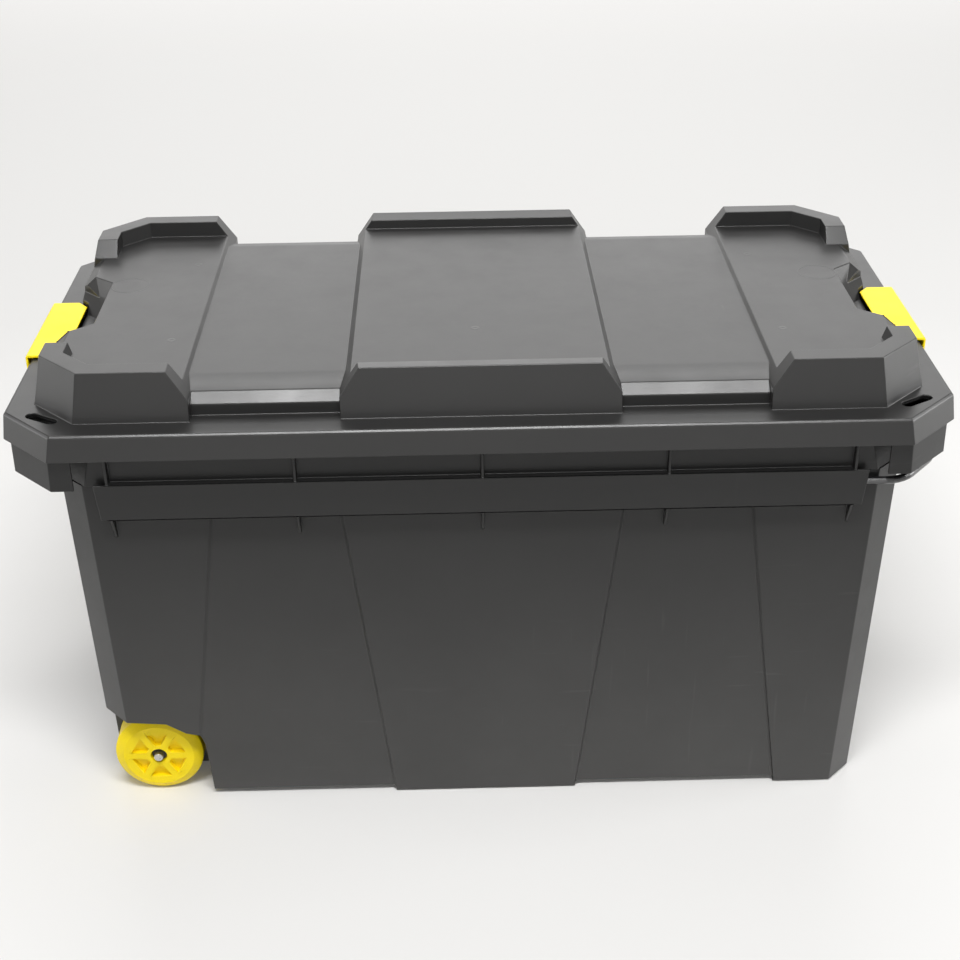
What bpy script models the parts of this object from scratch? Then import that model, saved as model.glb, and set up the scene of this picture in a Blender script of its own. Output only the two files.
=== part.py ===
"""Wheeled storage box: moulded tub and lid, two end latches, two wheels on an axle, sliding pull handle.

Metres, +Z up. The origin is on the floor, under the middle of the box. X runs along the box: the
wheels are at the -X end and the pull handle is at the +X end. The long front side faces -Y.
"""
import math

import bmesh
import bpy
from mathutils import Matrix, Vector

MM = 0.001
GAP = 0.3 * MM                    # air between pieces that touch
OVER = 2.0 * MM                   # how far a cut runs past the face that it opens
BITE = 1.0 * MM                   # how far joined shapes run into each other
OCTAGON = 2.0 - math.sqrt(2.0)    # what a corner cut loses for each unit that its outline moves in
ROUND_SHARE = 1.0 - math.sqrt(0.5)    # middle of a quarter round, as a share of its radius

# Tub walls
TUB_BOTTOM_X = 417.0 * MM         # half length on the floor
TUB_BOTTOM_Y = 232.5 * MM         # half depth on the floor
TUB_CORNER = 27.0 * MM            # leg of the corner cut
DRAFT_X = 0.0285                  # lean of the end walls
DRAFT_Y = 0.0200                  # lean of the long walls
TUB_WALL = 3.0 * MM
BOTTOM_ROUND = 2.5 * MM
FLOOR_RAISE = 6.0 * MM            # floor above the feet
FLOOR_THICK = 3.5 * MM
FOOT_DEPTH = 36.0 * MM            # width of the feet under the walls
RIM_Z = 468.7 * MM                # top of the rim
RIM_THICK = 3.0 * MM
RIM_SHELF_X = 41.14 * MM          # rim beyond the neck, at the ends
RIM_SHELF_Y = 7.12 * MM           # and along the long sides
RIM_CORNER = 54.0 * MM
NECK_DROP = 59.7 * MM             # ledge where the walls step out, below the rim's top
NECK_STEP = 4.0 * MM
NECK_CORNER = 34.5 * MM           # leg of the neck's corner cut at the ledge
NECK_TOP_CORNER = 50.0 * MM       # and at the rim, where it makes room for the tie-down slots

# Panels of the long walls: the middle and corner panels stand proud of the two between them
PANEL_STEP = 3.5 * MM
PANEL_RUN = 3.5 * MM              # width of the slope between panels
PANEL_DROP = 68.7 * MM            # top of the recessed panels, below the rim's top
MIDDLE_HALF = 101.5 * MM          # half width of the middle panel on the floor
MIDDLE_LEAN = 0.116               # how it widens upwards
CORNER_EDGE = 326.0 * MM          # inner edge of a corner panel on the floor
CORNER_LEAN = 0.135

# Rim skirts: collars round the ends serve as hand grips, bands hang on the long sides
COLLAR_DROP = 60.5 * MM           # lower edge below the rim's top
COLLAR_THICK = 3.0 * MM
COLLAR_RETURN = 68.5 * MM         # how far a collar runs back along the long sides
COLLAR_CORNER = 47.0 * MM         # leg of its corner cut at the lid skirt's edge
COLLAR_LOW_CORNER = 45.5 * MM     # and at its lower edge
BAND_DROP = 94.7 * MM
BAND_HEIGHT = 40.0 * MM
BAND_THICK = 2.4 * MM
BAND_SHELF = 2.4 * MM             # shelf that joins the band's top to the wall
BAND_TAB = 12.7 * MM              # tab of the band beyond its last rib
BAND_SLANT = 4.0 * MM
RIB_SPACING = 187.0 * MM
RIBS_EACH_SIDE = 2                # ribs each side of the middle one
RIB_THICK = 3.0 * MM
RIB_TAIL = 27.0 * MM              # how far a rib's tail tapers off below the band
RIB_SETBACK = 0.5 * MM            # rib's outer edge behind the band's face

# Lid
LID_GAP_X = 1.5 * MM              # air between rim and skirt at the ends
LID_GAP_Y = 1.0 * MM              # and along the long sides
LID_CORNER = 56.5 * MM
LID_WALL = 3.0 * MM
SKIRT_DROP = 28.0 * MM
SKIRT_FLARE = 2.5 * MM
SKIRT_CORNER = 54.5 * MM          # leg of the corner cut at the skirt's lower edge
EDGE_ROUND = 2.5 * MM
FLANGE_X = 28.0 * MM              # flat flange outside the raised blocks, at the ends
FLANGE_Y = 26.0 * MM              # and along the long sides
BLOCK_CORNER = 47.5 * MM          # leg of the blocks' corner cut at the flange
BLOCK_TOP_CORNER = 45.0 * MM      # and at the ridges' top
BLOCK_DRAFT_X = 0.20              # lean of the outer faces of the blocks, at the ends
BLOCK_DRAFT_Y = 0.14              # and along the long sides
RIDGE_RISE = 52.0 * MM            # ridges above the flange
RIDGE_WIDTH_X = 33.5 * MM         # ridge from the block's foot to its inner face, at the ends
RIDGE_WIDTH_Y = 29.0 * MM         # and along the long sides
RIDGE_CORNER = 30.0 * MM
END_BLOCK_LENGTH = 163.0 * MM
END_TOP_RISE = 33.5 * MM          # flat tops of the end blocks above the flange
MIDDLE_BLOCK_HALF = 140.0 * MM
MIDDLE_TOP_RISE = 38.0 * MM       # flat top of the middle block above the flange
MIDDLE_RIDGE_WIDTH = 27.0 * MM    # its ridges, from the block's foot to their inner face
MIDDLE_RIDGE_FLAT = 2.5 * MM      # level outer strip of their tops
MIDDLE_RIDGE_DIP = 2.8 * MM       # how much lower their inner edge is
SIDE_LEAN = 20.0 / 30.0           # lean of block sides that rise from a panel
CHANNEL_RISE = 22.0 * MM          # long edges of the panels between the blocks above the flange
CHANNEL_CROWN = 28.5 * MM         # their flat middle above the flange
CHANNEL_SLOPE = 28.0 * MM         # width of the slope between the two
CHANNEL_STEP = 12.0 * MM          # upright front of a panel, under its bevel
CHANNEL_SETBACK = 15.0 * MM       # front of a panel behind the foot of the blocks
CHANNEL_TUCK = 12.0 * MM          # how far a panel runs in under the end block
ARM_END_Y = 133.5 * MM            # end of a ridge's arm beside a latch, at the flat top
ARM_SLOPE = 14.0 * MM             # run of its sloping end
LIP_WIDTH = 18.5 * MM             # sloping lip outside the flat top, beside a notch
LIP_LEAN = 0.78
FINGER_ROOM = 33.0 * MM           # notch behind a latch's tip
NOTCH_STEP_RISE = 15.0 * MM       # where the notch's side walls get less steep
# Side wall of a notch at three heights: how much the notch's back is narrower than the latch on
# that side, then how far the wall runs out and spreads to its bend, and spreads to the block's foot
NOTCH_FOOT = (53.0 * MM, 23.0 * MM, 18.0 * MM, 42.0 * MM)
NOTCH_SHELF = (30.0 * MM, 16.0 * MM, 14.5 * MM, 42.0 * MM)
NOTCH_MOUTH = (15.0 * MM, 22.0 * MM, 18.0 * MM, 22.0 * MM)
SLOT_LENGTH = 38.0 * MM           # tie-down slots in the corners of the flange and the rim
SLOT_WIDTH = 12.0 * MM
SLOT_INSET_X = 42.0 * MM
SLOT_INSET_Y = 41.0 * MM
SLOT_ANGLE = math.radians(31.0)
SLOT_STEPS = 8
RIM_SLOT_ROOM = 1.0 * MM          # rim's slots wider than the lid's, all round

# Latches: a plate hooked over the flange, hinged on a pin below the skirt
LATCH_HALF = 73.0 * MM
LATCH_CORNER_X = 11.0 * MM
LATCH_CORNER_Y = 13.0 * MM
LATCH_PLATE = 2.5 * MM
LATCH_HOOK_THICK = 3.0 * MM
LATCH_REACH = 36.0 * MM           # how far the hook reaches in over the flange
LATCH_LIFT = 0.9 * MM             # air between hook and flange, needed to swing clear
LATCH_ROUND = 2.5 * MM
SEAT_SINK = 1.0 * MM              # shallow seat in the flange under a latch
SEAT_ROOM = 2.0 * MM              # seat beyond the latch's edges
LATCH_INSIDE = 0.5 * MM           # inner face of the plate outside the pin's axis
PIVOT_OUT = 2.5 * MM              # pin axis outside the flange's edge
PIVOT_DROP = 17.0 * MM            # pin axis below the skirt's lower edge
BARREL_RADIUS = 5.0 * MM
BARREL_STEPS = 16
BEND_STEPS = 3
PIN_RADIUS = 2.0 * MM
PIN_STEPS = 16
EAR_THICK = 6.0 * MM
EAR_WALL = 4.0 * MM               # ear round the pin's bore
EAR_CORNER = 2.5 * MM
EAR_SIDE_GAP = 0.7 * MM

# Wheels and axle
WHEEL_RADIUS = 49.0 * MM
WHEEL_WIDTH = 38.0 * MM
WHEEL_STEPS = 48
WHEEL_INSET_Y = 11.5 * MM         # outer face inside the tub's foot line
AXLE_INSET_X = 51.0 * MM          # axle from the end of the tub on the floor
AXLE_RADIUS = 5.0 * MM
ROUND_STEPS = 24                  # sides of the axle, its caps and the rod's bores
AXLE_PROUD = 3.5 * MM             # axle's end beyond the wheel's face
WHEEL_FACE_RADIUS = 39.0 * MM
WHEEL_SHOULDER = 5.0 * MM
WHEEL_EDGE = 2.0 * MM
WHEEL_WEB = 8.0 * MM
WHEEL_RIM = 8.0 * MM
HUB_WALL = 8.7 * MM               # hub round its bore
HUB_SINK = 6.0 * MM               # counterbore for the cap
CAP_SIDE_GAP = 0.7 * MM
POCKET_COUNT = 6
POCKET_DEPTH = 6.0 * MM
POCKET_OUTER = 28.5 * MM
SPOKE_WIDTH = 8.5 * MM
CAP_RADIUS = 8.5 * MM
CAP_THICK = 2.0 * MM
CAP_EDGE = 1.0 * MM
# Arch round a wheel: degrees up from the +X side, and millimetres of air to the wheel
ARCH = ((112.6, 12.3), (73.9, 6.6), (48.1, 4.9), (36.1, 13.5), (21.0, 10.0), (-4.1, 8.2))
ARCH_HEEL = 10.8 * MM             # wheel to the arch's foot on the floor
ARCH_TOP = 12.5 * MM              # air over the wheel at the end of the box
WELL_DEPTH_GAP = 4.0 * MM         # between wheel and the well's inner wall
WELL_WEB = 8.0 * MM               # wall that carries the axle
TUNNEL_CLEAR = 6.0 * MM           # air round the axle under the floor

# Pull handle
ROD_RADIUS = 4.0 * MM
ROD_SIDES = 12
ROD_DROP = 10.2 * MM              # rod's middle below the collars
ROD_SIDE_GAP = 0.4 * MM           # between rod and band
ROD_TUCK = 7.0 * MM               # cross bar's middle inside the rim's edge
ROD_CORNER_X = 43.5 * MM
ROD_CORNER_Y = 50.2 * MM
ROD_BEND = 38.0 * MM
ROD_BEND_STEPS = 5
ROD_TRAVEL = 220.0 * MM
STOP_LENGTH = 10.0 * MM           # flattened ends of the rod, too tall to pass the bored ribs
STOP_HALF_Y = 2.0 * MM
STOP_HALF_Z = 6.5 * MM

# Places that follow from these
NECK_Z = RIM_Z - NECK_DROP
PANEL_TOP = RIM_Z - PANEL_DROP
COLLAR_BOTTOM = RIM_Z - COLLAR_DROP
BAND_BOTTOM = RIM_Z - BAND_DROP
BAND_TOP = BAND_BOTTOM + BAND_HEIGHT
BAND_END_X = RIBS_EACH_SIDE * RIB_SPACING + RIB_THICK / 2
RIM_X = TUB_BOTTOM_X + DRAFT_X * RIM_Z + NECK_STEP + RIM_SHELF_X
RIM_Y = TUB_BOTTOM_Y + DRAFT_Y * RIM_Z + NECK_STEP + RIM_SHELF_Y
LID_X = RIM_X + LID_GAP_X + LID_WALL
LID_Y = RIM_Y + LID_GAP_Y + LID_WALL
LID_TOP = RIM_Z + GAP + LID_WALL
SKIRT_BOTTOM = LID_TOP - SKIRT_DROP
BLOCK_X = LID_X - FLANGE_X
BLOCK_Y = LID_Y - FLANGE_Y
BLOCK_INNER_X = BLOCK_X - END_BLOCK_LENGTH
RIDGE_INNER_X = BLOCK_X - RIDGE_WIDTH_X
RIDGE_INNER_Y = BLOCK_Y - RIDGE_WIDTH_Y
MIDDLE_RIDGE_Y = BLOCK_Y - MIDDLE_RIDGE_WIDTH
CHANNEL_Y = BLOCK_Y - CHANNEL_SETBACK
NOTCH_X = LID_X - LATCH_REACH - FINGER_ROOM
SLOT_X = LID_X - SLOT_INSET_X
SLOT_Y = LID_Y - SLOT_INSET_Y
PIVOT_X = LID_X + PIVOT_OUT
PIVOT_Z = SKIRT_BOTTOM - PIVOT_DROP
AXLE_X = AXLE_INSET_X - TUB_BOTTOM_X
WHEEL_FACE_Y = TUB_BOTTOM_Y - WHEEL_INSET_Y
WELL_INNER_Y = WHEEL_FACE_Y - WHEEL_WIDTH - WELL_DEPTH_GAP
HUB_RADIUS = AXLE_RADIUS + GAP + HUB_WALL
ROD_Z = COLLAR_BOTTOM - ROD_DROP
ROD_Y = RIM_Y - BAND_THICK - ROD_SIDE_GAP - ROD_RADIUS
ROD_END_X = RIM_X - ROD_TUCK
STOP_X = RIB_SPACING - RIB_THICK / 2 - ROD_TRAVEL - 2 * GAP

# Colours
CHARCOAL = (0.052, 0.052, 0.054)
YELLOW = (0.86, 0.68, 0.035)
BLACK = (0.012, 0.012, 0.013)
STEEL = (0.62, 0.62, 0.60)

for old in list(bpy.data.objects):
    bpy.data.objects.remove(old, do_unlink=True)


def new_collection(name):
    collection = bpy.data.collections.new(name)
    bpy.context.scene.collection.children.link(collection)
    return collection


PARTS = new_collection("wheeled_storage_box")
GUIDES = new_collection("cutters_and_guides")


def material(name, colour, roughness, metallic=0.0):
    made = bpy.data.materials.new(name)
    made.use_nodes = True
    shader = made.node_tree.nodes["Principled BSDF"]
    shader.inputs["Base Color"].default_value = (*colour, 1.0)
    shader.inputs["Roughness"].default_value = roughness
    shader.inputs["Metallic"].default_value = metallic
    return made


TUB_PLASTIC = material("tub_plastic", CHARCOAL, 0.42)
LID_PLASTIC = material("lid_plastic", CHARCOAL, 0.36)
YELLOW_PLASTIC = material("yellow_plastic", YELLOW, 0.38)
BLACK_STEEL = material("black_steel", BLACK, 0.22, 0.4)
BRIGHT_STEEL = material("bright_steel", STEEL, 0.30, 1.0)
BLACK_PLASTIC = material("black_plastic", BLACK, 0.45)


# Shapes

def add(name, mesh):
    """Put a mesh in the scene as a guide, out of the render."""
    made = bpy.data.objects.new(name, mesh)
    GUIDES.objects.link(made)
    made.hide_render = True
    made.display_type = 'WIRE'
    return made


def finish_mesh(name, bm):
    bmesh.ops.recalc_face_normals(bm, faces=bm.faces)
    mesh = bpy.data.meshes.new(name)
    bm.to_mesh(mesh)
    bm.free()
    return add(name, mesh)


def from_curve(name, curve, matrix):
    """Turn a curve into a closed mesh object."""
    carrier = bpy.data.objects.new(name + "_curve", curve)
    GUIDES.objects.link(carrier)
    bpy.context.view_layer.update()
    evaluated = carrier.evaluated_get(bpy.context.evaluated_depsgraph_get())
    mesh = bpy.data.meshes.new_from_object(evaluated)
    bm = bmesh.new()
    bm.from_mesh(mesh)
    bmesh.ops.remove_doubles(bm, verts=bm.verts, dist=0.00001)
    bm.to_mesh(mesh)
    bm.free()
    bpy.data.objects.remove(carrier, do_unlink=True)
    mesh.transform(matrix)
    return add(name, mesh)


def prism(name, outline, axis, start, end, holes=()):
    """A flat outline, with any holes, pushed along an axis. Its points are (x, y), (x, z) or (y, z)."""
    curve = bpy.data.curves.new(name, 'CURVE')
    curve.dimensions = '2D'
    curve.fill_mode = 'BOTH'
    curve.extrude = abs(end - start) / 2
    for loop in [outline, *holes]:
        spline = curve.splines.new('POLY')
        spline.points.add(len(loop) - 1)
        for point, (u, v) in zip(spline.points, loop):
            point.co = (u, v, 0.0, 1.0)
        spline.use_cyclic_u = True
    middle = (start + end) / 2
    if axis == 'Z':
        matrix = Matrix.Translation((0, 0, middle))
    elif axis == 'Y':
        matrix = Matrix.Translation((0, middle, 0)) @ Matrix.Rotation(math.radians(90), 4, 'X')
    else:
        matrix = Matrix(((0, 0, 1, middle), (1, 0, 0, 0), (0, 1, 0, 0), (0, 0, 0, 1)))
    return from_curve(name, curve, matrix)


def loft(name, sections):
    """A solid between outlines of equal length, each given as (height, points)."""
    bm = bmesh.new()
    rings = [[bm.verts.new((x, y, z)) for x, y in points] for z, points in sections]
    for low, high in zip(rings, rings[1:]):
        for i in range(len(low)):
            j = (i + 1) % len(low)
            bm.faces.new((low[i], low[j], high[j], high[i]))
    bm.faces.new(list(reversed(rings[0])))
    bm.faces.new(rings[-1])
    return finish_mesh(name, bm)


def box(name, low, high):
    low, high = Vector(low), Vector(high)
    bm = bmesh.new()
    bmesh.ops.create_cube(bm, size=1.0)
    scale = Matrix.Diagonal((*(high - low), 1.0))
    bm.transform(Matrix.Translation((low + high) / 2) @ scale)
    return finish_mesh(name, bm)


def cylinder(name, radius, axis, centre, start, end, segments):
    """A round bar along an axis; centre holds its place on the other two axes."""
    bm = bmesh.new()
    bmesh.ops.create_cone(bm, cap_ends=True, segments=segments, radius1=radius, radius2=radius,
                          depth=end - start)
    middle = (start + end) / 2
    if axis == 'Y':
        place, across = (centre[0], middle, centre[1]), 'X'
    else:
        place, across = (middle, centre[0], centre[1]), 'Y'
    bm.transform(Matrix.Translation(place) @ Matrix.Rotation(math.radians(90), 4, across))
    return finish_mesh(name, bm)


def combine(target, operation, others):
    """Join shapes to a target, or cut them out of it."""
    for other in others:
        step = target.modifiers.new(other.name, 'BOOLEAN')
        step.operation = operation
        step.solver = 'EXACT'
        step.object = other
    return target


def part(made, name, surface, origin=(0, 0, 0), sharp=30):
    """Make a guide into a part, with its origin at its axis or seat."""
    GUIDES.objects.unlink(made)
    PARTS.objects.link(made)
    made.name = name
    made.hide_render = False
    made.display_type = 'TEXTURED'
    made.data.transform(Matrix.Translation(-Vector(origin)))
    made.location = origin
    made.data.materials.clear()
    made.data.materials.append(surface)
    made.data.shade_smooth()
    made.data.set_sharp_from_angle(angle=math.radians(sharp))
    return made


def octagon(half_x, half_y, corner, grow=0.0):
    """A rectangle with cut corners, moved outwards by grow."""
    x, y, c = half_x + grow, half_y + grow, corner + OCTAGON * grow
    return [(-x, -y + c), (-x + c, -y), (x - c, -y), (x, -y + c),
            (x, y - c), (x - c, y), (-x + c, y), (-x, y - c)]


def grown(outline, amount):
    """A clockwise outline with each side moved outwards by an amount."""
    moved = []
    for before, here, after in zip(outline[-1:] + outline[:-1], outline, outline[1:] + outline[:1]):
        first = (Vector(here) - Vector(before)).normalized()
        second = (Vector(after) - Vector(here)).normalized()
        out = Vector((-first.y - second.y, first.x + second.x))
        moved.append(tuple(Vector(here) + out * (amount / (1.0 + first.dot(second)))))
    return moved


def capsule(centre, length, width, angle):
    """A slot outline with round ends."""
    points = []
    reach = (length - width) / 2
    for end in (1, -1):
        for i in range(SLOT_STEPS + 1):
            turn = math.radians(-90 + 180 * i / SLOT_STEPS) + (0 if end > 0 else math.pi)
            u = end * reach + width / 2 * math.cos(turn)
            v = width / 2 * math.sin(turn)
            points.append((centre[0] + u * math.cos(angle) - v * math.sin(angle),
                           centre[1] + u * math.sin(angle) + v * math.cos(angle)))
    return points


def tie_down_slot(side, side_y, room):
    """The outline of a slot in one corner of the lid's flange, or with room of the rim's slot below."""
    return capsule((side * SLOT_X, side_y * SLOT_Y), SLOT_LENGTH + 2 * room, SLOT_WIDTH + 2 * room,
                   -side * side_y * SLOT_ANGLE)


# Tub

def tub_outline(z, grow=0.0):
    """The tub's outer outline at a height below the ledge."""
    return octagon(TUB_BOTTOM_X + DRAFT_X * z, TUB_BOTTOM_Y + DRAFT_Y * z, TUB_CORNER, grow)


def neck_outline(z, grow=0.0):
    """The tub's outer outline at a height above the ledge."""
    corner = NECK_CORNER + (NECK_TOP_CORNER - NECK_CORNER) * (z - NECK_Z) / NECK_DROP
    x, y = TUB_BOTTOM_X + DRAFT_X * z, TUB_BOTTOM_Y + DRAFT_Y * z
    return octagon(x + NECK_STEP, y + NECK_STEP, corner, grow)


def long_panel(name, side_x, side_y, skin):
    """The recess of one panel between the middle and a corner; skin keeps the wall behind it."""
    slope = PANEL_RUN / PANEL_STEP
    sections = []
    for z in (-OVER, PANEL_TOP + skin):
        face = TUB_BOTTOM_Y + DRAFT_Y * z
        back, front = face - PANEL_STEP - skin, RIM_Y + OVER
        shift = skin * math.hypot(1.0, slope)
        inner = MIDDLE_HALF + MIDDLE_LEAN * z - shift
        outer = CORNER_EDGE - CORNER_LEAN * z + shift
        half_way = face - PANEL_STEP / 2
        narrow, wide = slope * (half_way - back), slope * (front - half_way)
        outline = [(inner - wide, front), (outer + wide, front),
                   (outer - narrow, back), (inner + narrow, back)]
        sections.append((z, [(side_x * x, side_y * y) for x, y in outline]))
    return loft(name, sections)


def wheel_well(name, side_y, skin):
    """The corner cut away for a wheel, open to the side, the end and the floor."""
    arch = [(-LID_X, -OVER), (-LID_X, 2 * WHEEL_RADIUS + ARCH_TOP)]
    for degrees, air in ARCH:
        turn = math.radians(degrees)
        reach = WHEEL_RADIUS + air * MM
        arch.append((AXLE_X + reach * math.cos(turn), WHEEL_RADIUS + reach * math.sin(turn)))
    arch.append((AXLE_X + WHEEL_RADIUS + ARCH_HEEL, -OVER))
    depth = WELL_INNER_Y - skin
    return prism(name, grown(arch, skin), 'Y', side_y * depth, side_y * (RIM_Y + OVER))


def axle_tunnel(name, skin):
    half = AXLE_RADIUS + TUNNEL_CLEAR + skin
    reach = WELL_INNER_Y - WELL_WEB + skin
    return box(name, (AXLE_X - half, -reach, -OVER), (AXLE_X + half, reach, WHEEL_RADIUS + half))


def tub_hollows(skin):
    """All shapes that press into the tub from outside, thickened by skin."""
    shapes = [axle_tunnel("tunnel_%d" % bool(skin), skin)]
    for side_y in (-1, 1):
        shapes.append(wheel_well("well_%d_%d" % (side_y, bool(skin)), side_y, skin))
        for side_x in (-1, 1):
            name = "panel_%d_%d_%d" % (side_x, side_y, bool(skin))
            shapes.append(long_panel(name, side_x, side_y, skin))
    return shapes


def collar(side_x):
    """The hanging wall round one end of the rim, with wider corners below the lid's skirt."""
    start = RIM_X - COLLAR_RETURN
    under = RIM_Z - RIM_THICK
    sections = []
    for z, corner in ((COLLAR_BOTTOM, COLLAR_LOW_CORNER), (SKIRT_BOTTOM, COLLAR_CORNER),
                      (under, RIM_CORNER), (under + BITE, RIM_CORNER)):
        outer = octagon(RIM_X, RIM_Y, corner)[2:6]
        inner = octagon(RIM_X, RIM_Y, corner, -COLLAR_THICK)[2:6]
        path = [(start, -RIM_Y)] + outer + [(start, RIM_Y)]
        back = [(start, -RIM_Y + COLLAR_THICK)] + inner + [(start, RIM_Y - COLLAR_THICK)]
        sections.append((z, [(side_x * x, y) for x, y in path + back[::-1]]))
    return loft("collar_%d" % side_x, sections)


def band(side_y):
    """The band along one long side, and the shelf that joins its top to the wall."""
    half = [(BAND_END_X + BAND_TAB - BAND_SLANT, BAND_BOTTOM), (BAND_END_X + BAND_TAB, BAND_TOP)]
    outline = half + [(-x, z) for x, z in half[::-1]]
    plate = prism("band_%d" % side_y, outline, 'Y', side_y * (RIM_Y - BAND_THICK), side_y * RIM_Y)
    root = TUB_BOTTOM_Y + DRAFT_Y * BAND_TOP + NECK_STEP - TUB_WALL / 2
    y_low, y_high = sorted((side_y * root, side_y * (RIM_Y - BAND_THICK / 2)))
    shelf = box("band_shelf_%d" % side_y, (-BAND_END_X, y_low, BAND_TOP - BAND_SHELF),
                (BAND_END_X, y_high, BAND_TOP))
    return [plate, shelf]


def rib(x, side_y):
    """A gusset from the wall to the band's face, with a tail that tapers off below the band."""
    wall = TUB_BOTTOM_Y + DRAFT_Y * BAND_BOTTOM
    root = wall - PANEL_STEP - TUB_WALL / 2
    face = RIM_Y - RIB_SETBACK
    top, bottom = RIM_Z - RIM_THICK + BITE, BAND_BOTTOM - RIB_TAIL
    outline = [(root, top), (face, top), (face, BAND_BOTTOM), (wall, bottom), (root, bottom)]
    outline = [(side_y * y, z) for y, z in outline]
    return prism("rib_%d_%d" % (round(x / MM), side_y), outline, 'X',
                 x - RIB_THICK / 2, x + RIB_THICK / 2)


def ear(side_x, side_y):
    """One of the two ears on a collar that hold a latch pin."""
    reach = PIN_RADIUS + GAP + EAR_WALL
    low, high = PIVOT_Z - reach, PIVOT_Z + reach
    tip = PIVOT_X + reach
    root = RIM_X - BITE
    corner = EAR_CORNER
    outline = [(root, low), (tip - corner, low), (tip, low + corner), (tip, high - corner),
               (tip - corner, high), (root, high)]
    start = LATCH_HALF + EAR_SIDE_GAP
    return prism("ear_%d_%d" % (side_x, side_y), [(side_x * x, z) for x, z in outline], 'Y',
                 side_y * start, side_y * (start + EAR_THICK))


def tub():
    body = loft("tub_body", [
        (0.0, tub_outline(0.0, -BOTTOM_ROUND)),
        (BOTTOM_ROUND * ROUND_SHARE, tub_outline(0.0, -BOTTOM_ROUND * ROUND_SHARE)),
        (BOTTOM_ROUND, tub_outline(BOTTOM_ROUND)),
        (NECK_Z, tub_outline(NECK_Z)),
        (NECK_Z, neck_outline(NECK_Z)),
        (RIM_Z - BITE, neck_outline(RIM_Z - BITE)),
    ])
    floor = FLOOR_RAISE + FLOOR_THICK
    cavity = loft("cavity", [
        (floor, tub_outline(floor, -TUB_WALL - BOTTOM_ROUND)),
        (floor + BOTTOM_ROUND, tub_outline(floor, -TUB_WALL)),
        (NECK_Z, tub_outline(NECK_Z, -TUB_WALL)),
        (NECK_Z + NECK_STEP, neck_outline(NECK_Z + NECK_STEP, -TUB_WALL)),
        (RIM_Z + OVER, neck_outline(RIM_Z, -TUB_WALL)),
    ])
    combine(cavity, 'DIFFERENCE', tub_hollows(TUB_WALL))

    added = [prism("rim", octagon(RIM_X, RIM_Y, RIM_CORNER), 'Z', RIM_Z - RIM_THICK, RIM_Z)]
    for side in (-1, 1):
        added += [collar(side), ear(side, -1), ear(side, 1)]
        added += band(side)
        added += [rib(n * RIB_SPACING, side) for n in range(-RIBS_EACH_SIDE, RIBS_EACH_SIDE + 1)]
    combine(body, 'DIFFERENCE', tub_hollows(0.0))
    combine(body, 'UNION', added)

    cuts = [cavity]
    foot_y = TUB_BOTTOM_Y - FOOT_DEPTH
    cuts.append(box("underside", (-TUB_BOTTOM_X - OVER, -foot_y, -OVER),
                    (TUB_BOTTOM_X - FOOT_DEPTH, foot_y, FLOOR_RAISE)))
    for side in (-1, 1):
        for side_y in (-1, 1):
            x_low, x_high = sorted((side * MIDDLE_HALF, side * CORNER_EDGE))
            y_low, y_high = sorted((side_y * (foot_y - BITE), side_y * (TUB_BOTTOM_Y + OVER)))
            cuts.append(box("foot_gap_%d_%d" % (side, side_y), (x_low, y_low, -OVER),
                            (x_high, y_high, FLOOR_RAISE)))
            cuts.append(prism("rim_slot_%d_%d" % (side, side_y), tie_down_slot(side, side_y, RIM_SLOT_ROOM),
                              'Z', RIM_Z - RIM_THICK - OVER, RIM_Z + OVER))
        reach = LATCH_HALF + EAR_SIDE_GAP + EAR_THICK + OVER
        cuts.append(cylinder("pin_bore_%d" % side, PIN_RADIUS + GAP, 'Y', (side * PIVOT_X, PIVOT_Z),
                             -reach, reach, PIN_STEPS))
        cuts.append(cylinder("rod_bore_%d" % side, ROD_RADIUS + GAP, 'X', (side * ROD_Y, ROD_Z),
                             RIB_SPACING - RIB_THICK, BAND_END_X + RIB_THICK, ROUND_STEPS))
        half_y, half_z = ROD_RADIUS + GAP, STOP_HALF_Z + GAP
        cuts.append(box("stop_window_%d" % side, (-RIB_THICK, side * ROD_Y - half_y, ROD_Z - half_z),
                        (RIB_THICK, side * ROD_Y + half_y, ROD_Z + half_z)))
    reach = WELL_INNER_Y + OVER
    cuts.append(cylinder("axle_bore", AXLE_RADIUS + GAP, 'Y', (AXLE_X, WHEEL_RADIUS), -reach, reach,
                         ROUND_STEPS))
    combine(body, 'DIFFERENCE', cuts)
    return part(body, "tub", TUB_PLASTIC)


# Lid

def end_block(name, side, skin):
    """A raised end block, or with skin the hollow under it."""
    def section(rise, inner):
        x = BLOCK_X - BLOCK_DRAFT_X * rise - skin
        y = BLOCK_Y - BLOCK_DRAFT_Y * rise - skin
        share = rise / RIDGE_RISE
        c = BLOCK_CORNER + (BLOCK_TOP_CORNER - BLOCK_CORNER) * share - OCTAGON * skin
        points = [(inner, -y), (x - c, -y), (x, -y + c), (x, y - c), (x - c, y), (inner, y)]
        return [(side * u, v) for u, v in points]
    inner = BLOCK_INNER_X + skin
    top = RIDGE_RISE - skin
    lean = SIDE_LEAN * (top - CHANNEL_RISE)
    start = -LID_WALL - BITE if skin else -BITE
    return loft(name, [(LID_TOP + start, section(0.0, inner)),
                       (LID_TOP + CHANNEL_RISE, section(CHANNEL_RISE, inner)),
                       (LID_TOP + top, section(top, inner + lean))])


def middle_block(name, skin):
    """The raised middle block, or with skin the hollow under it."""
    def section(rise, half):
        y = BLOCK_Y - BLOCK_DRAFT_Y * rise - skin
        return [(-half, -y), (half, -y), (half, y), (-half, y)]
    half = MIDDLE_BLOCK_HALF - skin
    top = RIDGE_RISE - skin
    lean = SIDE_LEAN * (top - CHANNEL_RISE)
    start = -LID_WALL - BITE if skin else -BITE
    return loft(name, [(LID_TOP + start, section(0.0, half)),
                       (LID_TOP + CHANNEL_RISE, section(CHANNEL_RISE, half)),
                       (LID_TOP + top, section(top, half - lean))])


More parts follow.
